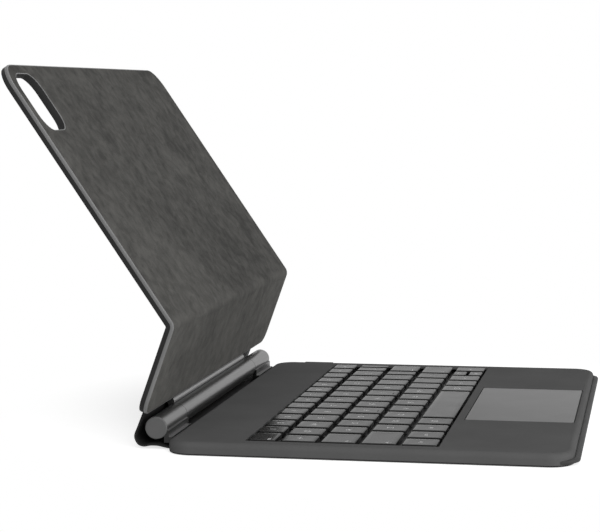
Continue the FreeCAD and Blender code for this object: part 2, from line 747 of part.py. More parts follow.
# Panel knuckle: the long middle of the barrel, with the fin that carries the back panel and a bead along it.
# It and the lower panel's layers are built flat about the hinge line and then leaned.
RIVET_LINES = [(f"({number} - ({RIVETS} - 1) / 2) * middle_length / {RIVETS}",
                "panel_clear + fin_reach / 2") for number in range(RIVETS)]
tube = cylinder("-middle_length / 2", "0", "0", "barrel_radius", "middle_length", along_x=True)
fin = box("-middle_length / 2", "0", "core_inner - fin_thick", "middle_length", "panel_clear + fin_reach",
          "fin_thick")
bead = cylinder("-middle_length / 2", "panel_clear - bead_drop", "core_inner - bead_depth", "bead_radius",
                "middle_length", along_x=True)
bore = cylinder("-middle_length / 2", "0", "0", "sleeve_radius", "middle_length", along_x=True)
holes = [cylinder(x, y, "core_inner - fin_thick", "rivet_radius + rivet_gap", "fin_thick")
         for x, y in RIVET_LINES]
panel_knuckle = keep(cut(fuse([tube, fin, bead]), [bore] + holes), "panel_knuckle")
lean(panel_knuckle, "lower_turn", "hinge_line", "hinge_height")

# Friction sleeves, pressed into the panel knuckle and running on the pins.
for side, name in ((-1, "friction_sleeve_left"), (1, "friction_sleeve_right")):
    start = "middle_length / 2 - sleeve_length" if side > 0 else "-middle_length / 2"
    outside = cylinder(start, "hinge_line", "hinge_height", "sleeve_radius", "sleeve_length", along_x=True)
    inside = cylinder(start, "hinge_line", "hinge_height", "pin_radius + pin_gap", "sleeve_length",
                      along_x=True)
    keep(cut(outside, [inside]), name)


# Layers of the back panel: suede lining inside, stiff board, leather-like cover outside.
def lower_layer(name, top, thick):
    body = plate(name, "-panel_width / 2", "panel_width / 2", "panel_clear", "lower_top - fold_gap",
                 f"{top} - {thick}", thick)
    edge = value("panel_clear")
    round_edges(body, upright_between(edge - 1, edge + 1), "bottom_corner")
    return body


def upper_layer(name, top, thick):
    body = plate(name, "-panel_width / 2", "panel_width / 2", "fold_gap", "upper_length",
                 f"{top} - {thick}", thick)
    edge = value("upper_length")
    round_edges(body, upright_between(edge - 1, edge + 1), "top_corner")
    hole = new_sketch(body, f"{top} - {thick}")
    rectangle(hole, "-panel_width / 2 + camera_side", "-panel_width / 2 + camera_side + camera_width",
              "upper_length - camera_top - camera_height", "upper_length - camera_top")
    pocket(body, hole, thick)
    low = value("upper_length - camera_top - camera_height") - 1
    high = value("upper_length - camera_top") + 1
    inside = value("-panel_width / 2 + camera_side + camera_width") + 1
    outside = value("-panel_width / 2 + camera_side") - 1

    def hole_corner(corner):
        return upright_between(low, high)(corner) and outside < corner.BoundBox.XMin < inside
    round_edges(body, hole_corner, "camera_corner")
    return body


lower_lining = keep(lower_layer("lower_lining", "panel_inner", "lining_thick"), "lower_lining")
lower_board = lower_layer("lower_board", "core_inner", "core_thick")
fin_seat = new_sketch(lower_board, "core_inner")
rectangle(fin_seat, "-middle_length / 2 - fin_gap", "middle_length / 2 + fin_gap", "panel_clear - fin_gap",
          "panel_clear + fin_reach + fin_gap")
pocket(lower_board, fin_seat, "fin_thick", up=False)
rivet_holes = new_sketch(lower_board, "cover_inner")
for x, y in RIVET_LINES:
    disc(rivet_holes, x, y, "rivet_radius + rivet_gap")
pocket(lower_board, rivet_holes, "core_thick")
keep(lower_board, "lower_board")
lower_cover = keep(lower_layer("lower_cover", "cover_inner", "cover_thick"), "lower_cover")
rivets = new_body("fin_rivets")
rivet_ends = new_sketch(rivets, "cover_inner")
for x, y in RIVET_LINES:
    disc(rivet_ends, x, y, "rivet_radius")
pad(rivets, rivet_ends, "core_thick")
keep(rivets, "fin_rivets")
for layer in (lower_lining, lower_board, lower_cover, rivets):
    lean(layer, "lower_turn", "hinge_line", "hinge_height")

# The upper panel's layers are built flat about the fold line.
upper_lining = keep(upper_layer("upper_lining", "0", "lining_thick"), "upper_lining")
upper_board = upper_layer("upper_board", "-lining_thick", "core_thick")
COLUMN_STEP = "(panel_width - 4 * camera_width) / 5"
HOLD_MAGNETS = [(f"({number} - ({MAGNET_COLUMNS} - 1) / 2) * {COLUMN_STEP}",
                 f"upper_length / 2 + {shift} * hold_magnet_rise")
                for number in range(MAGNET_COLUMNS) for shift in (-1, 1)]
seats = new_sketch(upper_board, "-lining_thick")
for x, y in HOLD_MAGNETS:
    half_width = "(hold_magnet_width / 2 + hold_magnet_gap)"
    half_height = "(hold_magnet_height / 2 + hold_magnet_gap)"
    rectangle(seats, f"{x} - {half_width}", f"{x} + {half_width}", f"{y} - {half_height}",
              f"{y} + {half_height}")
pocket(upper_board, seats, "hold_magnet_thick", up=False)
keep(upper_board, "upper_board")
upper_cover = keep(upper_layer("upper_cover", "-lining_thick - core_thick", "cover_thick"), "upper_cover")
hold_magnets = new_body("tablet_magnets")
bars = new_sketch(hold_magnets, "-lining_thick - hold_magnet_thick")
for x, y in HOLD_MAGNETS:
    rectangle(bars, f"{x} - hold_magnet_width / 2", f"{x} + hold_magnet_width / 2",
              f"{y} - hold_magnet_height / 2", f"{y} + hold_magnet_height / 2")
pad(hold_magnets, bars, "hold_magnet_thick")
keep(hold_magnets, "tablet_magnets")
for layer in (upper_lining, upper_board, upper_cover, hold_magnets):
    lean(layer, "upper_turn", "fold_y", "fold_z")


# Flexible strips: the lining and the cover run across the fold, bent as the case stands.
def panel_point(turn, along, depth):
    """A point of a panel in the side view, from the fold line along it and inwards from its face."""
    angle = math.radians(value(turn))
    y = value("fold_y") + along * math.cos(angle) + depth * math.sin(angle)
    z = value("fold_z") + along * math.sin(angle) - depth * math.cos(angle)
    return FreeCAD.Vector(-value("panel_width") / 2, y, z)


def fold_strip(name, outer, inner):
    """A strip of one layer, with outer and inner its depths below the panel's face."""
    reach = value("fold_gap - seam_gap")
    half_bend = math.tan(math.radians(value("fold_bend") / 2))
    outline = [panel_point("lower_turn", -reach, outer), panel_point("lower_turn", -outer * half_bend, outer),
               panel_point("upper_turn", reach, outer), panel_point("upper_turn", reach, inner),
               panel_point("lower_turn", -inner * half_bend, inner), panel_point("lower_turn", -reach, inner)]
    face = Part.Face(Part.makePolygon(outline + outline[:1]))
    item = doc.addObject("Part::Feature", name)
    item.Shape = face.extrude(FreeCAD.Vector(value("panel_width"), 0, 0))
    keep(item, name)


fold_strip("fold_lining", 0, value("lining_thick"))
fold_strip("fold_cover", value("lining_thick + core_thick"), value("lining_thick + core_thick + cover_thick"))

# Spine skin: a slack flap from the lower panel's edge round behind the barrel and under it to the base.
hinge = FreeCAD.Vector(0, value("hinge_line"), value("hinge_height"))
turn = math.radians(value("lower_turn"))
cover_depth = value("cover_inner - cover_thick / 2")
below_panel = value("panel_clear - 2 * seam_gap")
top_end = hinge + FreeCAD.Vector(0, below_panel * math.cos(turn) - cover_depth * math.sin(turn),
                                 below_panel * math.sin(turn) + cover_depth * math.cos(turn))
bend = value("spine_bend")
half_thick = value("spine_thick") / 2
bend_centre = FreeCAD.Vector(0, hinge.y + value("spine_back") - half_thick - bend,
                             value("spine_lift") + half_thick + bend)
reach = top_end - bend_centre
leave = math.atan2(reach.z, reach.y) - math.acos(bend / reach.Length)
middle = (leave - math.pi / 2) / 2


def on_bend(angle, radius):
    return bend_centre + FreeCAD.Vector(0, radius * math.cos(angle), radius * math.sin(angle))


def spine_side(radius):
    """One side of the flap: straight from the panel, round the bend, straight to the base."""
    outwards = FreeCAD.Vector(0, math.cos(leave), math.sin(leave)) * (radius - bend)
    low = on_bend(-math.pi / 2, radius)
    base_end = FreeCAD.Vector(0, value("deck_rear + seam_gap"), low.z)
    return top_end + outwards, on_bend(leave, radius), on_bend(middle, radius), low, base_end


outer_side = spine_side(bend + half_thick)
inner_side = spine_side(bend - half_thick)
edges = []
for start, leaves, halfway, low, finish in (outer_side, inner_side):
    edges.append(Part.makeLine(start, leaves))
    edges.append(Part.Arc(leaves, halfway, low).toShape())
    edges.append(Part.makeLine(low, finish))
edges.append(Part.makeLine(outer_side[0], inner_side[0]))
edges.append(Part.makeLine(outer_side[-1], inner_side[-1]))
section = Part.Face(Part.Wire(Part.__sortEdges__(edges)))
spine = doc.addObject("Part::Feature", "spine_skin")
spine.Shape = section.extrude(FreeCAD.Vector(value("spine_width"), 0, 0))
spine.Placement = FreeCAD.Placement(FreeCAD.Vector(-value("spine_width") / 2, 0, 0), FreeCAD.Rotation())
keep(spine, "spine_skin")

# Check every object, then write one file for each node.
doc.recompute()
for item in doc.Objects:
    if "Invalid" in item.State or "Error" in item.State:
        raise RuntimeError(item.Label + " failed to build")
for item in nodes:
    if item.Shape.isNull() or not item.Shape.isValid():
        raise RuntimeError(item.Label + " has no valid shape")
for item in nodes:
    item.Shape.exportStep(f"parts/{item.Label}.step")
print(len(nodes), "nodes")
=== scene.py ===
import bmesh
import bpy
import json
import math
from mathutils import Matrix, Vector


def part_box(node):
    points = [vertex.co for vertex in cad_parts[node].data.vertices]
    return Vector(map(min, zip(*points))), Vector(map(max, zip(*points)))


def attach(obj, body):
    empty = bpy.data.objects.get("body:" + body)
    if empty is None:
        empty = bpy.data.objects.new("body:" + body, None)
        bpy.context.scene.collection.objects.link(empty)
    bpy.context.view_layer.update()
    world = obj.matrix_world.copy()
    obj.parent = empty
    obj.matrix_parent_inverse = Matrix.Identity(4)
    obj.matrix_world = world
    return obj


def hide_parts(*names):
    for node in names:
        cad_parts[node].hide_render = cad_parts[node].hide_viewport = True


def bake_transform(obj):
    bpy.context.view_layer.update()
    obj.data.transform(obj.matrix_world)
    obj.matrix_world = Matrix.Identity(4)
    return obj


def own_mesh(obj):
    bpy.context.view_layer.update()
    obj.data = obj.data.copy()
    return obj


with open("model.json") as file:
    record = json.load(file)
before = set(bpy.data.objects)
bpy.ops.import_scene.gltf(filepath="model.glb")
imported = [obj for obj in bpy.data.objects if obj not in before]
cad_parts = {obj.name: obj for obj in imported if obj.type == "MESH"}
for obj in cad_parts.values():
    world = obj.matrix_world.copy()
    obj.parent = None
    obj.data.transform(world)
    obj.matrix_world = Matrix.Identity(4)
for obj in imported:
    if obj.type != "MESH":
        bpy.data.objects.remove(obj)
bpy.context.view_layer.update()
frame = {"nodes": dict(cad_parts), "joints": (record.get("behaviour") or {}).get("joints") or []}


# Base skin: one sheet of dark leather-like polyurethane under the keyboard.
# It is cut to the base's outline, rolled at its lower edge and glued to the tray.
# Along the front it stands out past the deck as a stiff lip, which runs out round the corners.

MM = 0.001
DECK_CORNER = 11.0 * MM
# Inset and height in mm.
SKIN_ROLL = [(0.9, 0.0), (0.45, 0.06), (0.12, 0.25), (0.0, 0.5), (0.0, 0.8)]
# Share of the lip's reach, and height in mm.
LIP_SECTION = [
    (0.0, 0.4), (0.0, 2.95), (0.1, 3.08), (0.35, 3.1), (0.62, 3.0), (0.82, 2.8), (0.94, 2.5), (1.0, 2.1),
    (1.0, 1.7), (0.94, 1.4), (0.8, 1.2), (0.45, 0.95), (0.15, 0.6),
]
LIP_TURNS = 9
LIP_END = math.radians(60)
LIP_MIDDLE = 1.9
LIP_TIP = 0.04
LIP_GAP = 0.08 * MM
SEAM = 0.02 * MM


def rounded_outline(left, right, low, high, low_corner, high_corner, inset=0.0, low_marks=()):
    """Points round a rectangle with rounded corners, drawn in by inset, with marks along its low side."""
    steps = 7
    least = 0.05 * MM
    corners = [
        (left, low, low_corner, 180),
        (right, low, low_corner, 270),
        (right, high, high_corner, 0),
        (left, high, high_corner, 90),
    ]
    points = []
    for x, y, corner, start in corners:
        radius = max(corner - inset, least)
        reach = radius + inset
        centre_x = x + reach if x == left else x - reach
        centre_y = y + reach if y == low else y - reach
        for step in range(steps + 1):
            turn = math.radians(start + 90 * step / steps)
            points.append((centre_x + radius * math.cos(turn), centre_y + radius * math.sin(turn)))
        if start == 180:
            points += [(mark, low + inset) for mark in low_marks]
    return points


def ring(bm, points, height):
    return [bm.verts.new((x, y, height)) for x, y in points]


def wrap(bm, first, second):
    """A band of faces between two rings with as many points."""
    count = len(first)
    for i in range(count):
        j = (i + 1) % count
        bm.faces.new((first[i], first[j], second[j], second[i]))


def loft(bm, rings):
    """A closed form through rings, with flat ends."""
    for first, second in zip(rings, rings[1:]):
        wrap(bm, first, second)
    bm.faces.new(list(reversed(rings[0])))
    bm.faces.new(rings[-1])


def piece_from(name, bm, finish, crease=40):
    """Turn a finished form into an object of the scene, smooth up to the crease angle."""
    bmesh.ops.recalc_face_normals(bm, faces=bm.faces)
    mesh = bpy.data.meshes.new(name)
    bm.to_mesh(mesh)
    bm.free()
    mesh.polygons.foreach_set("use_smooth", [True] * len(mesh.polygons))
    mesh.set_sharp_from_angle(angle=math.radians(crease))
    mesh.materials.append(finish)
    item = bpy.data.objects.new(name, mesh)
    bpy.context.scene.collection.objects.link(item)
    return item


def lay_flat_map(bm):
    """Keep where each point lies on the uncut sheet, so that a grain follows the sheet."""
    layer = bm.loops.layers.uv.new("flat_sheet")
    for face in bm.faces:
        for corner in face.loops:
            corner[layer].uv = corner.vert.co.xy


def new_finish(name):
    """A new material, its node tree and its Principled shader."""
    finish = bpy.data.materials.new(name)
    finish.use_nodes = True
    return finish, finish.node_tree, finish.node_tree.nodes["Principled BSDF"]


def add_node(tree, kind, links=(), **settings):
    """Add a node; links are (input, socket or value) pairs and settings are its own options."""
    node = tree.nodes.new(kind)
    for option, choice in settings.items():
        setattr(node, option, choice)
    for name, source in links:
        if isinstance(source, bpy.types.NodeSocket):
            tree.links.new(source, node.inputs[name])
        else:
            node.inputs[name].default_value = source
    return node


def spread(tree, source, low, high, start=0.0, end=1.0):
    """Stretch the part of a value between low and high over start to end."""
    links = [("Value", source), ("From Min", low), ("From Max", high), ("To Min", start), ("To Max", end)]
    return add_node(tree, "ShaderNodeMapRange", links).outputs["Result"]


def mixed(tree, share, first, second):
    """A colour between two, by share."""
    node = tree.nodes.new("ShaderNodeMix")
    node.data_type = "RGBA"
    for socket, source in (("Factor_Float", share), ("A_Color", first), ("B_Color", second)):
        target = next(item for item in node.inputs if item.identifier == socket)
        if isinstance(source, bpy.types.NodeSocket):
            tree.links.new(source, target)
        else:
            target.default_value = source
    return next(item for item in node.outputs if item.identifier == "Result_Color")


def grey(level):
    return (level, level, level, 1.0)


def new_group(name, inputs, outputs):
    """A shader node group with named inputs and outputs."""
    group = bpy.data.node_groups.new(name, "ShaderNodeTree")
    for label, kind in inputs:
        group.interface.new_socket(label, in_out="INPUT", socket_type=kind)
    for label, kind in outputs:
        group.interface.new_socket(label, in_out="OUTPUT", socket_type=kind)
    return group, group.nodes.new("NodeGroupInput"), group.nodes.new("NodeGroupOutput")


GROUP_VALUE = "NodeSocketFloat"
GROUP_VECTOR = "NodeSocketVector"
pebble_group, into, out = new_group(
    "pebbled_skin",
    [("Place", GROUP_VECTOR), ("Pebbles", GROUP_VALUE), ("Clouds", GROUP_VALUE)],
    [("Height", GROUP_VALUE), ("Tone", GROUP_VALUE)],
)
pebbles = add_node(
    pebble_group, "ShaderNodeTexVoronoi",
    [("Vector", into.outputs["Place"]), ("Scale", into.outputs["Pebbles"])], feature="SMOOTH_F1",
)
clouds = add_node(
    pebble_group, "ShaderNodeTexNoise",
    [("Vector", into.outputs["Place"]), ("Scale", into.outputs["Clouds"]), ("Detail", 4.0)],
)
pebble_group.links.new(pebbles.outputs["Distance"], out.inputs["Height"])
pebble_group.links.new(clouds.outputs["Fac"], out.inputs["Tone"])


def skin_finish(name, dark, light, roughness, specular):
    """Leather-like skin: small pebbles, and a tone that drifts a little over the sheet."""
    finish, tree, shader = new_finish(name)
    place = add_node(tree, "ShaderNodeTexCoord").outputs["UV"]
    grain = add_node(tree, "ShaderNodeGroup", node_tree=pebble_group)
    tree.links.new(place, grain.inputs["Place"])
    grain.inputs["Pebbles"].default_value = 1500.0
    grain.inputs["Clouds"].default_value = 45.0
    tone = spread(tree, grain.outputs["Tone"], 0.3, 0.7)
    tree.links.new(mixed(tree, tone, grey(dark), grey(light)), shader.inputs["Base Color"])
    drift = 0.025
    worn = spread(tree, grain.outputs["Tone"], 0.3, 0.7, roughness + drift, roughness - drift)
    tree.links.new(worn, shader.inputs["Roughness"])
    bump = add_node(
        tree, "ShaderNodeBump",
        [("Height", grain.outputs["Height"]), ("Distance", 0.05 * MM), ("Strength", 0.7)],
    )
    tree.links.new(bump.outputs["Normal"], shader.inputs["Normal"])
    shader.inputs["Specular IOR Level"].default_value = specular
    return finish


outer_skin = skin_finish("outer_skin", dark=0.0165, light=0.0205, roughness=0.62, specular=0.1)

deck_low, deck_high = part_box("top_deck")
skin_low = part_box("base_skin")[0]
base_form = bmesh.new()
skin_rings = []
for inset, height in SKIN_ROLL:
    outline = rounded_outline(
        deck_low.x, deck_high.x, deck_low.y, deck_high.y, DECK_CORNER, DECK_CORNER, inset * MM,
    )
    skin_rings.append(ring(base_form, outline, height * MM))
loft(base_form, skin_rings)
lay_flat_map(base_form)
base_skin = piece_from("base_skin_sheet", base_form, outer_skin)
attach(base_skin, "base")
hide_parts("base_skin")

lip_form = bmesh.new()
lip_reach = deck_low.y - skin_low.y
corner_x = deck_high.x - DECK_CORNER
half_turns = [LIP_END * i / LIP_TURNS for i in range(LIP_TURNS + 1)]
stations = [(-corner_x, -turn) for turn in reversed(half_turns)] + [(corner_x, turn) for turn in half_turns]
lip_rings = []
for x, turn in stations:
    outwards = Vector((math.sin(turn), -math.cos(turn)))
    taper = max(math.cos(turn * math.pi / 2 / LIP_END), LIP_TIP)
    foot = Vector((x, deck_low.y + DECK_CORNER)) + outwards * (DECK_CORNER + LIP_GAP)
    section = []
    for share, height in LIP_SECTION:
        spot = foot + outwards * (lip_reach - LIP_GAP) * taper * share
        rise = LIP_MIDDLE + (height - LIP_MIDDLE) * (0.5 + 0.5 * taper)
        section.append(lip_form.verts.new((spot.x, spot.y, rise * MM)))
    lip_rings.append(section)
loft(lip_form, lip_rings)
lay_flat_map(lip_form)
# The lip is the same skin as the base sheet, painted about twice as pale: painted light for its upward-facing
# top.
lip_skin_painted_light = skin_finish("lip_skin_painted_light", dark=0.034, light=0.042, roughness=0.6, specular=0.08)
front_lip = piece_from("front_lip", lip_form, lip_skin_painted_light, crease=60)
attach(front_lip, "base")


# Bottom tray: a thin moulded tray that closes the base from below and carries what is inside it.
# It is plain black plastic with a fine spark-eroded texture, held to the deck by small steel screws.

grain_group, into, out = new_group(
    "moulded_grain",
    [("Place", GROUP_VECTOR), ("Grains", GROUP_VALUE), ("Clouds", GROUP_VALUE)],
    [("Height", GROUP_VALUE), ("Tone", GROUP_VALUE)],
)
for label, density, detail in (("Height", "Grains", 2.0), ("Tone", "Clouds", 4.0)):
    texture = add_node(
        grain_group, "ShaderNodeTexNoise",
        [("Vector", into.outputs["Place"]), ("Scale", into.outputs[density]), ("Detail", detail)],
    )
    grain_group.links.new(texture.outputs["Fac"], out.inputs[label])


def grained_finish(
    name, dark, light, roughness, grains=1800.0, clouds=30.0, depth=0.02,
    metal=0.0, specular=0.5, drift=0.03,
):
    """Moulded or pressed stuff: a fine grain, with a colour and a gloss that drift over the piece."""
    finish, tree, shader = new_finish(name)
    grain = add_node(tree, "ShaderNodeGroup", node_tree=grain_group)
    tree.links.new(add_node(tree, "ShaderNodeTexCoord").outputs["Object"], grain.inputs["Place"])
    grain.inputs["Grains"].default_value = grains
    grain.inputs["Clouds"].default_value = clouds
    tone = spread(tree, grain.outputs["Tone"], 0.32, 0.68)
    tree.links.new(mixed(tree, tone, dark, light), shader.inputs["Base Color"])
    gloss = spread(tree, grain.outputs["Tone"], 0.32, 0.68, roughness + drift, roughness - drift)
    tree.links.new(gloss, shader.inputs["Roughness"])
    bump = add_node(
        tree, "ShaderNodeBump",
        [("Height", grain.outputs["Height"]), ("Distance", depth * MM), ("Strength", 0.5)],
    )
    tree.links.new(bump.outputs["Normal"], shader.inputs["Normal"])
    shader.inputs["Metallic"].default_value = metal
    shader.inputs["Specular IOR Level"].default_value = specular
    return finish


def dress(finish, *nodes):
    """Give CAD pieces a finish in the slots that they already have."""
    for node in nodes:
        for slot in frame["nodes"][node].material_slots:
            slot.material = finish


dress(grained_finish("tray_plastic", grey(0.012), grey(0.018), roughness=0.6), "bottom_tray")
steel_fixings = grained_finish("steel_fixings", grey(0.5), grey(0.6), roughness=0.32, depth=0.004, metal=1.0)
dress(steel_fixings, "deck_screws", "leaf_screws", "hinge_pin_left", "hinge_pin_right", "fin_rivets")


# What lies in the base: circuit board, two foil cells, magnets, film cables and the charging socket.
# All of it is bought in, laid on the tray and held by tape, ribs or the deck's own walls.

board_green = grained_finish(
    "circuit_board", (0.012, 0.05, 0.025, 1), (0.02, 0.075, 0.04, 1), roughness=0.4, clouds=160.0,
)
dress(board_green, "main_board", "trackpad_board")
battery_foil = grained_finish(
    "battery_foil", grey(0.42), grey(0.52), roughness=0.38, clouds=70.0, depth=0.05, metal=1.0,
)
dress(battery_foil, "battery_left", "battery_right")
dress(
    grained_finish("magnet_metal", grey(0.45), grey(0.55), roughness=0.3, clouds=90.0, metal=1.0),
    "closing_magnets", "tablet_magnets",
)
dress(
    grained_finish("ribbon_film", (0.16, 0.07, 0.015, 1), (0.22, 0.1, 0.02, 1), roughness=0.35),
    "ribbon_cables",
)
dress(
    grained_finish("socket_steel", grey(0.5), grey(0.62), roughness=0.28, depth=0.005, metal=1.0),
    "charging_socket",
)


# Key plate, switch membrane and dome sheet: the stack under the keys, all of it dark.
# The plate is blackened steel, the membrane and the dome sheet are printed film, and the domes are rubber.
# A dome stands under each key's plunger and gives way as the key goes down.

steel_sheet = grained_finish("steel_sheet", grey(0.03), grey(0.045), roughness=0.45, clouds=120.0, metal=1.0)
dress(steel_sheet, "key_plate", "trackpad_flexure")
dress(grained_finish("switch_film", grey(0.012), grey(0.018), roughness=0.4, depth=0.004), "switch_membrane")
dome_rubber = grained_finish("dome_rubber", grey(0.012), grey(0.016), roughness=0.55, clouds=200.0)

KEY_COUNTS = {
    "key_escape": 1, "keys_numbers": 12, "key_backspace": 1,
    "key_tab": 1, "keys_top_letters": 11, "key_bracket": 1, "key_bar": 1,
    "key_caps": 1, "keys_home_letters": 10, "key_quote": 1, "key_enter": 1,
    "key_shift_left": 1, "keys_bottom_letters": 10, "key_shift_right": 1,
    "keys_left_commands": 4, "key_space": 1, "keys_right_commands": 2,
    "key_arrow_left": 1, "key_arrow_up": 1, "key_arrow_down": 1, "key_arrow_right": 1,
}
KEY_GAP = 2.2 * MM
# Radius and rise in mm.
DOME_PROFILE = [(2.55, 0.0), (2.5, 0.12), (2.05, 0.35), (1.75, 1.1), (1.6, 1.45), (1.3, 1.7), (0.9, 1.78)]
DOME_SIDES = 20


def key_places(node):
    """The left, right, front and rear of each key of a node."""
    low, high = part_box(node)
    count = KEY_COUNTS[node]
    pitch = (high.x - low.x + KEY_GAP) / count
    return [(low.x + i * pitch, low.x + (i + 1) * pitch - KEY_GAP, low.y, high.y) for i in range(count)]


film_low, film_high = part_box("dome_sheet")
film_rise = 0.2 * MM
film_corner = 1.0 * MM
film_floor = film_low.z
film_form = bmesh.new()
film_rings = []
for height in (film_floor, film_floor + film_rise):
    outline = rounded_outline(film_low.x, film_high.x, film_low.y, film_high.y, film_corner, film_corner)
    film_rings.append(ring(film_form, outline, height))
loft(film_form, film_rings)
dome_film = piece_from("dome_film", film_form, dome_rubber)
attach(dome_film, "base")
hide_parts("dome_sheet")

dome_turns = [2 * math.pi * side / DOME_SIDES for side in range(DOME_SIDES)]
for node in KEY_COUNTS:
    dome_form = bmesh.new()
    for left, right, front, rear in key_places(node):
        middle_x, middle_y = (left + right) / 2, (front + rear) / 2
        dome_rings = []
        for radius, rise in DOME_PROFILE:
            outline = [
                (middle_x + radius * MM * math.cos(turn), middle_y + radius * MM * math.sin(turn))
                for turn in dome_turns
            ]
            dome_rings.append(ring(dome_form, outline, film_floor + film_rise + rise * MM))
        loft(dome_form, dome_rings)
    domes = piece_from("domes_" + node.split("_", 1)[1], dome_form, dome_rubber)
    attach(domes, "base")
    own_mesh(domes)


# Top deck: one moulding of soft-touch charcoal plastic with windows for the keys and the trackpad.
# Its top edge and corners are well rounded, and the paint on it is matt with a slight bloom.

deck_plastic = grained_finish(
    "deck_plastic", grey(0.076), grey(0.084), roughness=0.7, grains=2600.0, depth=0.012, specular=0.002,
)
dress(deck_plastic, "top_deck")


# Keys: 64 low caps of satin black plastic in five rows, each hollow, with a plunger over its dome.
# The caps are slightly dished, two of the home keys carry a raised bar, and the printed marks are pale grey.

CAP_CORNER = 1.5 * MM
CAP_WALL = 1.1
CAP_SHELL = 0.8
# Inset, and height from the top, in mm.
CAP_EDGE = [(0.25, -1.8), (0.25, -1.5), (0.29, -0.6), (0.34, -0.38), (0.44, -0.18), (0.6, -0.06), (0.85, 0.0)]
DISH = 0.07
DISH_STEPS = [0.25, 0.5, 0.75, 0.9]
PLUNGER_HALF = 1.5 * MM
PLUNGER_CORNER = 0.3 * MM
PLUNGER_DROP = 0.8
PLUNGER_SEAT = 0.02
HOMING = {"keys_home_letters": (3, 6)}
BAR_LENGTH = 3.2 * MM
BAR_WIDTH = 0.45 * MM
BAR_CORNER = 0.2025 * MM
BAR_FRONT = 2.55 * MM
BAR_RISE = 0.14
MARKS = {
    "key_escape": ["esc"], "keys_numbers": list("1234567890-="), "key_backspace": ["←"],
    "key_tab": ["→"], "keys_top_letters": list("QWERTYUIOP["), "key_bracket": ["]"], "key_bar": ["\\"],
    "key_caps": ["↑"], "keys_home_letters": list("ASDFGHJKL;"), "key_quote": ["'"], "key_enter": ["←"],
    "key_shift_left": ["↑"], "keys_bottom_letters": list("ZXCVBNM,./"), "key_shift_right": ["↑"],
    "keys_left_commands": ["fn", "ctrl", "alt", "○"], "key_space": [""],
    "keys_right_commands": ["○", "alt"],
    "key_arrow_left": ["←"], "key_arrow_up": ["↑"], "key_arrow_down": ["↓"],
    "key_arrow_right": ["→"],
}
LETTER_SIZE = 4.3 * MM
WORD_SIZE = 3.0 * MM
MARK_RISE = 0.008
WIDE_KEY = 17.5 * MM
MARK_SIDE = 4.0 * MM
MARK_FRONT = 3.4 * MM

key_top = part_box("key_space")[1].z
key_plastic = grained_finish(
    "key_plastic", grey(0.009), grey(0.012), roughness=0.18,
    grains=2200.0, clouds=60.0, depth=0.003, specular=0.029,
)
legend_print = grained_finish(
    "legend_print", grey(0.42), grey(0.55), roughness=0.5, clouds=400.0, depth=0.003,
)


def dish_at(share):
    return -DISH * share * (2 - share)


def add_block(bm, left, right, front, rear, floor, top, corner):
    """A small block with rounded upright edges."""
    levels = [rounded_outline(left, right, front, rear, corner, corner)] * 2
    loft(bm, [ring(bm, outline, height) for outline, height in zip(levels, (floor, top))])


def add_keycap(bm, left, right, front, rear):
    """One hollow cap: from the ceiling of its hollow round the rim and up to the dish."""
    half = min(right - left, rear - front) / 2
    edge = CAP_EDGE[-1][0]
    profile = [(CAP_WALL, -CAP_SHELL), (CAP_WALL, CAP_EDGE[0][1])] + CAP_EDGE
    profile += [(edge + (half / MM - edge) * share, dish_at(share)) for share in DISH_STEPS]
    rings = []
    for inset, rise in profile:
        outline = rounded_outline(left, right, front, rear, CAP_CORNER, CAP_CORNER, inset * MM)
        rings.append(ring(bm, outline, key_top + rise * MM))
    loft(bm, rings)
    x, y = (left + right) / 2, (front + rear) / 2
    add_block(
        bm, x - PLUNGER_HALF, x + PLUNGER_HALF, y - PLUNGER_HALF, y + PLUNGER_HALF,
        key_top - (CAP_SHELL + PLUNGER_DROP) * MM, key_top - (CAP_SHELL + PLUNGER_SEAT) * MM, PLUNGER_CORNER,
    )


def flat_mark(text):
    """A printed mark as a thin mesh, centred, one unit to the line."""
    drawing = bpy.data.curves.new("mark", "FONT")
    drawing.body = text
    drawing.align_x = "CENTER"
    drawing.align_y = "CENTER"
    drawing.resolution_u = 3
    drawing.extrude = MARK_RISE
    item = bpy.data.objects.new("mark", drawing)
    bpy.context.scene.collection.objects.link(item)
    bpy.context.view_layer.update()
    mesh = bpy.data.meshes.new_from_object(item.evaluated_get(bpy.context.evaluated_depsgraph_get()))
    bpy.data.objects.remove(item)
    bpy.data.curves.remove(drawing)
    return mesh


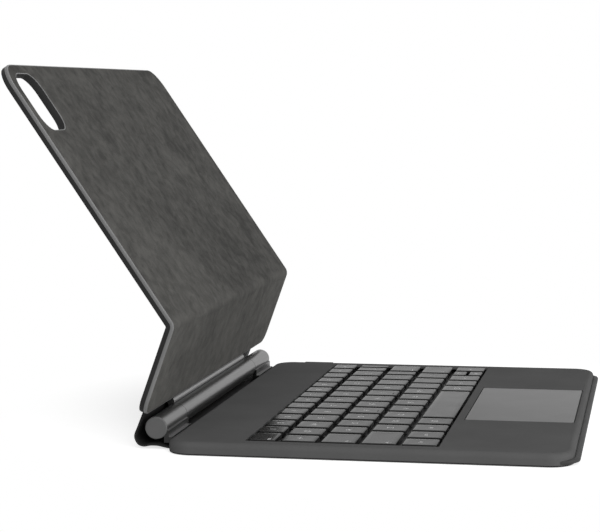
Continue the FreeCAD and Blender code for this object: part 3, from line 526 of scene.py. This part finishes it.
mark_rim = CAP_EDGE[-1][0] * MM
for node in KEY_COUNTS:
    cap_form = bmesh.new()
    mark_form = bmesh.new()
    for i, (left, right, front, rear) in enumerate(key_places(node)):
        add_keycap(cap_form, left, right, front, rear)
        middle_x, middle_y = (left + right) / 2, (front + rear) / 2
        if i in HOMING.get(node, ()):
            bar_y = front + BAR_FRONT
            add_block(
                cap_form, middle_x - BAR_LENGTH / 2, middle_x + BAR_LENGTH / 2, bar_y - BAR_WIDTH / 2,
                bar_y + BAR_WIDTH / 2, key_top - DISH * MM, key_top + BAR_RISE * MM, BAR_CORNER,
            )
        text = MARKS[node][i]
        if not text:
            continue
        size = LETTER_SIZE if len(text) == 1 else WORD_SIZE
        if right - left > WIDE_KEY:
            middle_x, middle_y = left + MARK_SIDE, front + MARK_FRONT
        known = len(mark_form.verts)
        mark = flat_mark(text)
        mark_form.from_mesh(mark)
        bpy.data.meshes.remove(mark)
        mark_form.verts.ensure_lookup_table()
        half = min(right - left, rear - front) / 2
        for vert in mark_form.verts[known:]:
            x = middle_x + vert.co.x * size
            y = middle_y + vert.co.y * size
            edge = min(x - left, right - x, y - front, rear - y)
            share = max(0.0, min(1.0, (edge - mark_rim) / (half - mark_rim)))
            vert.co = (x, y, key_top + dish_at(share) * MM + vert.co.z * size)
    caps = piece_from("caps_" + node.split("_", 1)[1], cap_form, key_plastic, crease=50)
    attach(caps, node)
    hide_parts(node)
    if len(mark_form.verts):
        marks = piece_from("marks_" + node.split("_", 1)[1], mark_form, legend_print)
        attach(marks, node)
    else:
        mark_form.free()


# Trackpad: a thin plate with a fine etched face, bonded to its own board and hung at its rear edge.
# It sits a hair below the deck in a window of its own, and a switch under its front edge clicks.

PAD_CORNER = 1.5 * MM
# Inset and rise in mm.
PAD_EDGE = [(0.1, 0.0), (0.0, 0.1), (0.0, 0.82), (0.05, 0.92), (0.16, 0.99), (0.3, 1.0)]
trackpad_surface = grained_finish(
    "trackpad_surface", grey(0.046), grey(0.05), roughness=0.34,
    grains=4000.0, clouds=60.0, depth=0.002, specular=0.1, drift=0.006,
)
pad_low, pad_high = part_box("trackpad_plate")
pad_form = bmesh.new()
pad_rings = []
for inset, rise in PAD_EDGE:
    outline = rounded_outline(
        pad_low.x, pad_high.x, pad_low.y, pad_high.y, PAD_CORNER, PAD_CORNER, inset * MM,
    )
    pad_rings.append(ring(pad_form, outline, pad_low.z + rise * MM))
loft(pad_form, pad_rings)
trackpad = piece_from("trackpad_face", pad_form, trackpad_surface)
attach(trackpad, "trackpad")
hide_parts("trackpad_plate")
dress(grained_finish("switch_body", grey(0.02), grey(0.03), roughness=0.5), "trackpad_switch")


# Barrel hinge: drawn aluminium knuckles in line, anodised grey, with fine lines along their length.
# The end knuckles are screwed to the tray, and the middle one carries a fin that goes into the lower panel.
# Steel pins run in bronze sleeves, which hold the panel where it is put, and plain caps close the ends.

line_group, into, out = new_group(
    "drawn_lines",
    [("Place", GROUP_VECTOR), ("Lines", GROUP_VALUE)],
    [("Height", GROUP_VALUE)],
)
LINE_STRETCH = (0.012, 1.0, 1.0)
drawn = add_node(
    line_group, "ShaderNodeVectorMath",
    [(0, into.outputs["Place"]), (1, LINE_STRETCH)], operation="MULTIPLY",
)
scratches = add_node(
    line_group, "ShaderNodeTexNoise",
    [("Vector", drawn.outputs["Vector"]), ("Scale", into.outputs["Lines"]), ("Detail", 3.0)],
)
line_group.links.new(scratches.outputs["Fac"], out.inputs["Height"])

BARREL_RADIUS = 5.17 * MM
BLAST_START = 0.1 * MM
BLAST_END = 0.4 * MM
joints = {joint["name"]: joint for joint in frame["joints"]}
hinge = Vector(joints["barrel_hinge"]["pos_m"])


def drawn_metal(name, dark, light, roughness, lines, end_painted_shade, fin_metal=1.0):
    """Metal with fine lines along X that break up its gloss, end faces painted another grey as painted shade,
    and a blasted fin.
    """
    finish, tree, shader = new_finish(name)
    scratch = add_node(tree, "ShaderNodeGroup", node_tree=line_group)
    place = add_node(tree, "ShaderNodeTexCoord").outputs["Object"]
    tree.links.new(place, scratch.inputs["Place"])
    scratch.inputs["Lines"].default_value = lines
    height = scratch.outputs["Height"]
    facing = add_node(tree, "ShaderNodeVectorMath", [(1, (1.0, 0.0, 0.0))], operation="DOT_PRODUCT")
    tree.links.new(add_node(tree, "ShaderNodeNewGeometry").outputs["True Normal"], facing.inputs[0])
    endwise = add_node(
        tree, "ShaderNodeMath", [(0, facing.outputs["Value"])], operation="ABSOLUTE",
    ).outputs["Value"]
    sides = mixed(tree, spread(tree, height, 0.3, 0.7), dark, light)
    # Faces that look along X take the end grey: painted shade for the dark nooks at the knuckles' ends.
    colour = mixed(tree, spread(tree, endwise, 0.9, 0.95), sides, grey(end_painted_shade))
    tree.links.new(colour, shader.inputs["Base Color"])
    gloss = spread(tree, height, 0.3, 0.7, roughness - 0.05, roughness + 0.05)
    tree.links.new(gloss, shader.inputs["Roughness"])
    bump = add_node(tree, "ShaderNodeBump", [("Height", height), ("Distance", 0.004 * MM), ("Strength", 0.4)])
    tree.links.new(bump.outputs["Normal"], shader.inputs["Normal"])
    from_axis = add_node(
        tree, "ShaderNodeVectorMath", [(0, place), (1, (0.0, hinge.y, hinge.z))], operation="SUBTRACT",
    )
    across = add_node(
        tree, "ShaderNodeVectorMath",
        [(0, from_axis.outputs["Vector"]), (1, (0.0, 1.0, 1.0))], operation="MULTIPLY",
    )
    reach = add_node(
        tree, "ShaderNodeVectorMath", [(0, across.outputs["Vector"])], operation="LENGTH",
    ).outputs["Value"]
    blasted = spread(tree, reach, BARREL_RADIUS + BLAST_START, BARREL_RADIUS + BLAST_END, 1.0, fin_metal)
    tree.links.new(blasted, shader.inputs["Metallic"])
    return finish


hinge_aluminium = drawn_metal(
    "hinge_aluminium", grey(0.125), grey(0.155), roughness=0.34, lines=2500.0, end_painted_shade=0.03,
)
dress(hinge_aluminium, "base_knuckle_left", "base_knuckle_right")
fin_aluminium = drawn_metal(
    "fin_aluminium", grey(0.125), grey(0.155), roughness=0.34, lines=2500.0, end_painted_shade=0.03, fin_metal=0.45,
)
dress(fin_aluminium, "panel_knuckle")
cap_plastic = grained_finish(
    "hinge_caps", grey(0.076), grey(0.09), roughness=0.5, grains=2400.0, depth=0.01, specular=0.3,
)
dress(cap_plastic, "end_cap_left", "end_cap_right")
bronze_sleeve = drawn_metal(
    "bronze_sleeve", (0.42, 0.24, 0.1, 1), (0.5, 0.3, 0.13, 1), roughness=0.3, lines=1800.0, end_painted_shade=0.3,
)
dress(bronze_sleeve, "friction_sleeve_left", "friction_sleeve_right")


# Back panel boards: two stiff glass-fibre boards, a short one on the hinge fin and a long one above the fold.
# They give the panel its shape and are covered on both sides.

panel_board = grained_finish(
    "panel_board", grey(0.05), grey(0.07), roughness=0.6, grains=900.0, clouds=80.0, depth=0.03,
)
dress(panel_board, "lower_board", "upper_board")


# Panel cover: the leather-like outer skin, one sheet over both boards, the fold and the panel's edges.
# It is turned round the edge and the camera cut-out to the middle of the panel's thickness, and glued.

PANEL_OFFSET = 3.76 * MM
PANEL_CLEAR = 7.14 * MM
UPPER_LENGTH = 139.58 * MM
FOLD_BEND = math.radians(53.99)
FOLD_ROUND = 5.0 * MM
FOLD_ROWS = 12
TOP_CORNER = 12.0 * MM
BOTTOM_CORNER = 7.0 * MM
CAMERA_LEFT = -120.8 * MM
CAMERA_RIGHT = -91.3 * MM
CAMERA_LOW = 103.93 * MM
CAMERA_HIGH = 134.93 * MM
CAMERA_CORNER = 9.0 * MM
FIN_SIDE = 76.2 * MM
FIN_STEP = 0.4 * MM
EDGE_STEPS = 5

fold = Vector(joints["panel_fold"]["pos_m"])
panel_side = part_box("upper_board")[1].x
arm = fold - hinge
lower_turn = math.atan2(arm.z, arm.y) + math.asin(PANEL_OFFSET / arm.length)
lower_length = math.sqrt(arm.length_squared - PANEL_OFFSET ** 2) - PANEL_CLEAR
fold_reach = FOLD_ROUND * math.tan(FOLD_BEND / 2)
fin_marks = [-FIN_SIDE - FIN_STEP, -FIN_SIDE, FIN_SIDE, FIN_SIDE + FIN_STEP]


def along(turn):
    return Vector((0, math.cos(turn), math.sin(turn)))


def behind(turn):
    return Vector((0, math.sin(turn), -math.cos(turn)))


def on_panel(x, rise, depth):
    """Where a point of the flat panel lies: rise is measured from the fold, depth from the inner face."""
    if rise <= -fold_reach:
        spot = fold + along(lower_turn) * rise + behind(lower_turn) * depth
    elif rise >= fold_reach:
        upper_turn = lower_turn - FOLD_BEND
        spot = fold + along(upper_turn) * rise + behind(upper_turn) * depth
    else:
        centre = fold - along(lower_turn) * fold_reach + behind(lower_turn) * FOLD_ROUND
        turn = lower_turn - FOLD_BEND * (rise + fold_reach) / (2 * fold_reach)
        spot = centre - behind(turn) * (FOLD_ROUND - depth)
    return Vector((x, spot.y, spot.z))


def panel_outline(inset):
    return rounded_outline(
        -panel_side, panel_side, -lower_length, UPPER_LENGTH, BOTTOM_CORNER, TOP_CORNER, inset, fin_marks,
    )


def camera_outline(inset):
    return rounded_outline(
        CAMERA_LEFT, CAMERA_RIGHT, CAMERA_LOW, CAMERA_HIGH, CAMERA_CORNER, CAMERA_CORNER, -inset,
    )


def edge_rings(bm, profile, outline_at, profile_at_fin=None):
    """Rings along an edge of the flat panel, with another profile between the fin's marks if there is one."""
    rings = []
    for i, (inset, depth) in enumerate(profile):
        points = [(x, y, -depth * MM) for x, y in outline_at(inset * MM)]
        if profile_at_fin:
            fin_inset, fin_depth = profile_at_fin[i]
            fin_low = -lower_length + fin_inset * MM
            low = -lower_length + inset * MM
            points = [
                (x, fin_low, -fin_depth * MM) if abs(x) <= FIN_SIDE and abs(y - low) < SEAM else (x, y, z)
                for x, y, z in points
            ]
        rings.append([bm.verts.new(point) for point in points])
    return rings


def fill_between(bm, outer, inner):
    """Fill a flat ring, round a hole."""
    edges = []
    for loop in (outer, inner):
        edges += [bm.edges.get((a, b)) for a, b in zip(loop, loop[1:] + loop[:1])]
    bmesh.ops.triangle_fill(bm, use_beauty=True, use_dissolve=False, edges=edges)


def bend_panel(bm):
    """Cut rows for the fold, keep the flat places, then set the sheet on the two panels."""
    rows = [fold_reach * (2 * i / FOLD_ROWS - 1) for i in range(FOLD_ROWS + 1)]
    beyond = 1.0 * MM
    rows = [-fold_reach - beyond] + rows + [fold_reach + beyond]
    for row in rows:
        everything = bm.verts[:] + bm.edges[:] + bm.faces[:]
        bmesh.ops.bisect_plane(bm, geom=everything, plane_co=(0, row, 0), plane_no=(0, 1, 0))
    lay_flat_map(bm)
    for vert in bm.verts:
        vert.co = on_panel(vert.co.x, vert.co.y, -vert.co.z)


def panel_sheet(name, profile, camera_profile, finish):
    """A closed sheet over the whole panel, from its hidden face round its edges to its shown face."""
    bm = bmesh.new()
    outer = edge_rings(bm, profile, panel_outline)
    inner = edge_rings(bm, camera_profile, camera_outline)
    for rings in (outer, inner):
        for first, second in zip(rings, rings[1:]):
            wrap(bm, first, second)
    fill_between(bm, outer[0], inner[0])
    fill_between(bm, outer[-1], inner[-1])
    bend_panel(bm)
    return piece_from(name, bm, finish)


def arc(centre_inset, centre_depth, radius, start, end):
    """Points of an edge's round, by the angle from the outward side towards the shown face."""
    turns = [math.radians(start + (end - start) * i / EDGE_STEPS) for i in range(EDGE_STEPS + 1)]
    return [(centre_inset - radius * math.cos(t), centre_depth + radius * math.sin(t)) for t in turns]


def across_fold(piece):
    """Bake a sheet's place into its mesh, as it lies bent over the fold."""
    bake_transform(piece)


# Inset from the edge and depth from the inner face, in mm.
COVER_EDGE = [(2.05, 3.14), (-0.06, 3.14), (-0.06, 1.92), (-0.22, 1.86), (-0.3, 1.95)]
COVER_EDGE += arc(0.5, 3.3, 0.8, 0, 90) + [(1.2, 4.1), (2.05, 4.1)]
COVER_AT_CAMERA = [(2.05, 3.14), (-0.06, 3.14), (-0.06, 0.62), (-0.2, 0.57), (-0.26, 0.65)]
COVER_AT_CAMERA += arc(0.34, 3.5, 0.6, 0, 90) + [(1.2, 4.1), (2.05, 4.1)]
panel_cover = panel_sheet("panel_cover", COVER_EDGE, COVER_AT_CAMERA, outer_skin)
across_fold(panel_cover)
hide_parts("lower_cover", "fold_cover", "upper_cover")


# Panel edging: the rolled rim between cover and lining, all round the panel and the camera cut-out.
# It is a smooth pressed band. Its pale grey is a painted highlight, for the light that its round catches. At
# the hinge fin it is cut back.

EDGING = [(0.5, 0.37), (-0.05, 0.36), (-0.05, 1.78), (-0.22, 1.82), (-0.3, 1.72)]
EDGING += arc(0.25, 0.75, 0.55, 0, -80) + [(0.4, 0.21), (0.48, 0.25), (0.5, 0.3)]
EDGING_AT_FIN = [(0.5, 0.37), (0.4, 0.37), (0.3, 0.37), (0.24, 0.36), (0.22, 0.34)]
EDGING_AT_FIN += arc(0.3, 0.32, 0.1, 0, -80) + [(0.4, 0.22), (0.48, 0.25), (0.5, 0.3)]
EDGING_AT_CAMERA = [(0.4, 0.37), (-0.05, 0.36), (-0.05, 0.5), (-0.2, 0.52), (-0.26, 0.46)]
EDGING_AT_CAMERA += arc(0.0, 0.4, 0.24, 0, -80) + [(0.2, 0.19), (0.36, 0.22), (0.4, 0.3)]

edging_form = bmesh.new()
outer = edge_rings(edging_form, EDGING, panel_outline, EDGING_AT_FIN)
inner = edge_rings(edging_form, EDGING_AT_CAMERA, camera_outline)
for rings in (outer, inner):
    for first, second in zip(rings, rings[1:] + rings[:1]):
        wrap(edging_form, first, second)
bend_panel(edging_form)
# The edging's pale grey, far paler than cover and lining, is a painted highlight along the rim.
edging_painted_highlight = skin_finish("edging_painted_highlight", dark=0.125, light=0.155, roughness=0.5, specular=0.25)
panel_edging = piece_from("panel_edging", edging_form, edging_painted_highlight)
across_fold(panel_edging)


# Panel lining: dark grey suede-like microfibre over the inside of the panel, in one piece across the fold.
# Its nap lies in soft clouds and strokes of lighter and darker grey-brown. Below the fold it is painted
# paler: painted light for the lower panel, which faces down and gets less light. Its edge is tucked at the
# rim.

LINING_EDGE = [
    (2.05, 0.37), (0.55, 0.37), (0.4, 0.3), (0.36, 0.2), (0.44, 0.1), (0.62, 0.03), (0.95, 0.0), (2.05, 0.0),
]
LINING_AT_CAMERA = [
    (2.05, 0.37), (0.45, 0.37), (0.26, 0.3), (0.2, 0.2), (0.26, 0.1), (0.42, 0.03), (0.7, 0.0), (2.05, 0.0),
]

suede_lining, tree, shader = new_finish("suede_lining")
place = add_node(tree, "ShaderNodeTexCoord").outputs["UV"]


def nap(scale, detail, stretch=(1.0, 1.0, 1.0), warp=0.0):
    """One layer of the nap, drawn out along the sheet by stretch."""
    drawn_out = add_node(tree, "ShaderNodeVectorMath", [(0, place), (1, stretch)], operation="MULTIPLY")
    links = [("Scale", scale), ("Detail", detail), ("Distortion", warp)]
    links.append(("Vector", drawn_out.outputs["Vector"]))
    return add_node(tree, "ShaderNodeTexNoise", links).outputs["Fac"]


def total(first, second, operation="ADD"):
    return add_node(tree, "ShaderNodeMath", [(0, first), (1, second)], operation=operation).outputs["Value"]


drift = spread(tree, nap(9.0, 2.0, warp=0.4), 0.35, 0.65, -0.09, 0.09)
blotches = spread(tree, nap(40.0, 6.0, stretch=(0.8, 1.0, 1.0), warp=0.8), 0.3, 0.7, -0.16, 0.16)
mottle = spread(tree, nap(170.0, 5.0, stretch=(0.8, 1.0, 1.0), warp=0.6), 0.3, 0.7, -0.17, 0.17)
strokes = spread(tree, nap(420.0, 4.0, stretch=(0.7, 0.5, 1.0), warp=0.5), 0.3, 0.7, -0.09, 0.09)
fibres = nap(2600.0, 2.0)
flat_rise = add_node(tree, "ShaderNodeSeparateXYZ", [("Vector", place)]).outputs["Y"]
# Painted light: the tone is raised below the fold, where the downward-facing lower panel gets less light.
lower_panel_painted_light = spread(tree, flat_rise, FOLD_ROUND, -FOLD_ROUND, 0.27, 0.56)
patches = total(total(drift, blotches), mottle)
tone = total(total(patches, strokes), total(spread(tree, fibres, 0.3, 0.7, -0.12, 0.12), lower_panel_painted_light))
suede_dark = (0.031, 0.0305, 0.0288, 1)
suede_light = (0.1045, 0.1024, 0.0955, 1)
tree.links.new(mixed(tree, tone, suede_dark, suede_light), shader.inputs["Base Color"])
tree.links.new(spread(tree, tone, 0.0, 1.0, 0.98, 0.86), shader.inputs["Roughness"])
pile = total(fibres, total(strokes, 0.5, "MULTIPLY"))
bump = add_node(tree, "ShaderNodeBump", [("Height", pile), ("Distance", 0.06 * MM), ("Strength", 0.6)])
tree.links.new(bump.outputs["Normal"], shader.inputs["Normal"])
shader.inputs["Specular IOR Level"].default_value = 0.05
shader.inputs["Sheen Weight"].default_value = 0.03
shader.inputs["Sheen Roughness"].default_value = 0.5

panel_lining = panel_sheet("panel_lining", LINING_EDGE, LINING_AT_CAMERA, suede_lining)
across_fold(panel_lining)
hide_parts("lower_lining", "fold_lining", "upper_lining")


# Spine skin: the slack stretch of the outer skin between the base and the lower panel.
# It runs under the barrel, loops out behind it and is glued to the panel's lower edge.

SPINE_HALF = 0.4
# Inset from an end in mm, and share of the full thickness.
SPINE_ENDS = [(0.0, 0.35), (0.25, 0.8), (0.7, 1.0)]
SPINE_COLUMNS = 9
SPINE_STEPS = 6
SLACK = 0.18
SLACK_WAVE = 17.0 * MM
# Points behind the barrel's axis and above the table, in mm.
SPINE_ROUTE = [
    (-7.25, 0.55), (-4.2, 1.1), (-1.0, 1.75), (2.4, 1.75), (5.6, 1.25), (8.0, 2.0), (9.4, 4.2),
    (9.5, 6.4), (8.3, 9.4), (6.8, 13.2), (5.6, 16.2), (4.85, 18.15),
]


def smooth_route(points, steps):
    """Points on a smooth line through a few, each stretch a curve that leaves along its neighbours."""
    ends = [2 * points[0] - points[1]] + points + [2 * points[-1] - points[-2]]
    line = []
    for before, start, end, after in zip(ends, ends[1:], ends[2:], ends[3:]):
        for step in range(steps):
            t = step / steps
            bow = 2 * start + (end - before) * t + (2 * before - 5 * start + 4 * end - after) * t ** 2
            line.append((bow + (3 * start - before - 3 * end + after) * t ** 3) / 2)
    return line + [points[-1]]


spine_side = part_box("spine_skin")[1].x
route = smooth_route([Vector((y, z)) for y, z in SPINE_ROUTE], SPINE_STEPS)
columns = [(-spine_side + inset * MM, share) for inset, share in SPINE_ENDS]
inside = spine_side - SPINE_ENDS[-1][0] * MM
columns += [(inside * (2 * i / SPINE_COLUMNS - 1), 1.0) for i in range(1, SPINE_COLUMNS)]
columns += [(-x, share) for x, share in reversed(columns[:len(SPINE_ENDS)])]
spine_form = bmesh.new()
flat_layer = spine_form.loops.layers.uv.new("flat_sheet")
spine_rings = []
travel = {}
for x, share in columns:
    sides = {1: [], -1: []}
    for i, point in enumerate(route):
        ahead = route[min(i + 1, len(route) - 1)] - route[max(i - 1, 0)]
        across = Vector((-ahead.y, ahead.x)).normalized()
        slack = SLACK * math.sin(math.pi * i / (len(route) - 1)) * math.sin(x / SLACK_WAVE)
        for side in sides:
            spot = point + across * (slack + side * SPINE_HALF * share)
            vert = spine_form.verts.new((x, hinge.y + spot.x * MM, spot.y * MM))
            travel[vert] = i * MM
            sides[side].append(vert)
    spine_rings.append(sides[1] + list(reversed(sides[-1])))
loft(spine_form, spine_rings)
for face in spine_form.faces:
    for corner in face.loops:
        corner[flat_layer].uv = (corner.vert.co.x, travel[corner.vert])
spine = piece_from("spine_flap", spine_form, outer_skin, crease=60)
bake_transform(spine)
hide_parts("spine_skin")


# Studio: a pale floor that keeps the case's shadow and fades to white further out.
# Three soft boxes and a white surround light it, most of all from the front and the user's left.

FLOOR_HALF = 4.0
FLOOR_DROP = 0.2 * MM
FADE_START = 0.12
FADE_END = 0.2
FLOOR_GREY = 0.84
FLOOR_LIFT = 0.56
SURROUND_LIGHT = 0.5


def seen_white(tree):
    """One where the eye, a reflection or glass looks, nothing where light is gathered."""
    path = add_node(tree, "ShaderNodeLightPath").outputs
    looks = path["Is Camera Ray"]
    for ray in ("Is Glossy Ray", "Is Transmission Ray"):
        either = add_node(tree, "ShaderNodeMath", [(0, looks), (1, path[ray])], operation="MAXIMUM")
        looks = either.outputs["Value"]
    return looks


floor_form = bmesh.new()
bmesh.ops.create_grid(floor_form, x_segments=1, y_segments=1, size=FLOOR_HALF)
floor_paint = bpy.data.materials.new("studio_floor")
floor_paint.use_nodes = True
floor_tree = floor_paint.node_tree
floor_tree.nodes.clear()
looked_at = seen_white(floor_tree)
spot = add_node(floor_tree, "ShaderNodeTexCoord").outputs["Object"]
away = add_node(floor_tree, "ShaderNodeVectorMath", [(0, spot)], operation="LENGTH").outputs["Value"]
fade = spread(floor_tree, away, FADE_START, FADE_END)
seen_fade = add_node(floor_tree, "ShaderNodeMath", [(0, fade), (1, looked_at)], operation="MULTIPLY")
lift = add_node(floor_tree, "ShaderNodeMath", [(0, looked_at), (1, FLOOR_LIFT)], operation="MULTIPLY")
matt = add_node(floor_tree, "ShaderNodeBsdfDiffuse", [("Color", grey(FLOOR_GREY))])
glow = add_node(floor_tree, "ShaderNodeEmission", [("Color", grey(1.0)), ("Strength", lift.outputs["Value"])])
near = add_node(floor_tree, "ShaderNodeAddShader", [(0, matt.outputs["BSDF"]), (1, glow.outputs["Emission"])])
far = add_node(floor_tree, "ShaderNodeEmission", [("Color", grey(1.0)), ("Strength", 1.0)])
surface = add_node(
    floor_tree, "ShaderNodeMixShader",
    [(0, seen_fade.outputs["Value"]), (1, near.outputs["Shader"]), (2, far.outputs["Emission"])],
)
add_node(floor_tree, "ShaderNodeOutputMaterial", [("Surface", surface.outputs["Shader"])])
floor = piece_from("studio_floor", floor_form, floor_paint)
floor.location.z = -FLOOR_DROP

world = bpy.data.worlds.new("studio_surround")
bpy.context.scene.world = world
world.use_nodes = True
surround = world.node_tree.nodes["Background"]
surround.inputs["Color"].default_value = grey(1.0)
level = spread(world.node_tree, seen_white(world.node_tree), 0.0, 1.0, SURROUND_LIGHT, 1.0)
world.node_tree.links.new(level, surround.inputs["Strength"])


def soft_lamp(name, place, aim, size, power):
    """A square soft box that looks at a point."""
    lamp = bpy.data.lights.new(name, "AREA")
    lamp.size = size
    lamp.energy = power
    item = bpy.data.objects.new(name, lamp)
    item.location = place
    item.rotation_euler = (Vector(aim) - Vector(place)).to_track_quat("-Z", "Y").to_euler()
    bpy.context.scene.collection.objects.link(item)


soft_lamp("top_box", place=(-0.1, -0.25, 1.25), aim=(0, 0, 0.03), size=1.1, power=1.5)
soft_lamp("side_box", place=(-1.2, -0.45, 0.8), aim=(0, 0.05, 0.06), size=0.9, power=11.5)
soft_lamp("front_box", place=(-0.35, -1.4, 0.3), aim=(0, 0.08, 0.06), size=1.0, power=14.0)


# Camera: a long lens, low over the table on the user's left, at the photograph's viewing angle.
# Its place, roll and lens come from a fit to the photograph.

CAMERA_AIM = Vector((0.0, 52.55, 73.24)) * MM
CAMERA_AZIMUTH = math.radians(-78.976)
CAMERA_RISE = math.radians(5.35)
CAMERA_ROLL = math.radians(-0.269)
CAMERA_DISTANCE = 929.9 * MM
LENS = 110.73
SENSOR = 36.0

back = Vector((
    math.sin(CAMERA_AZIMUTH) * math.cos(CAMERA_RISE),
    -math.cos(CAMERA_AZIMUTH) * math.cos(CAMERA_RISE),
    math.sin(CAMERA_RISE),
))
right = Vector((0, 0, 1)).cross(back).normalized()
up = back.cross(right)
rolled_right = right * math.cos(CAMERA_ROLL) + up * math.sin(CAMERA_ROLL)
rolled_up = up * math.cos(CAMERA_ROLL) - right * math.sin(CAMERA_ROLL)
lens = bpy.data.cameras.new("camera")
lens.sensor_fit = "HORIZONTAL"
lens.sensor_width = SENSOR
lens.lens = LENS
camera = bpy.data.objects.new("camera", lens)
camera.matrix_world = Matrix.Translation(CAMERA_AIM + back * CAMERA_DISTANCE) @ Matrix(
    (rolled_right, rolled_up, back)
).transposed().to_4x4()
bpy.context.scene.collection.objects.link(camera)
bpy.context.scene.camera = camera
bpy.context.scene.view_settings.view_transform = "Standard"
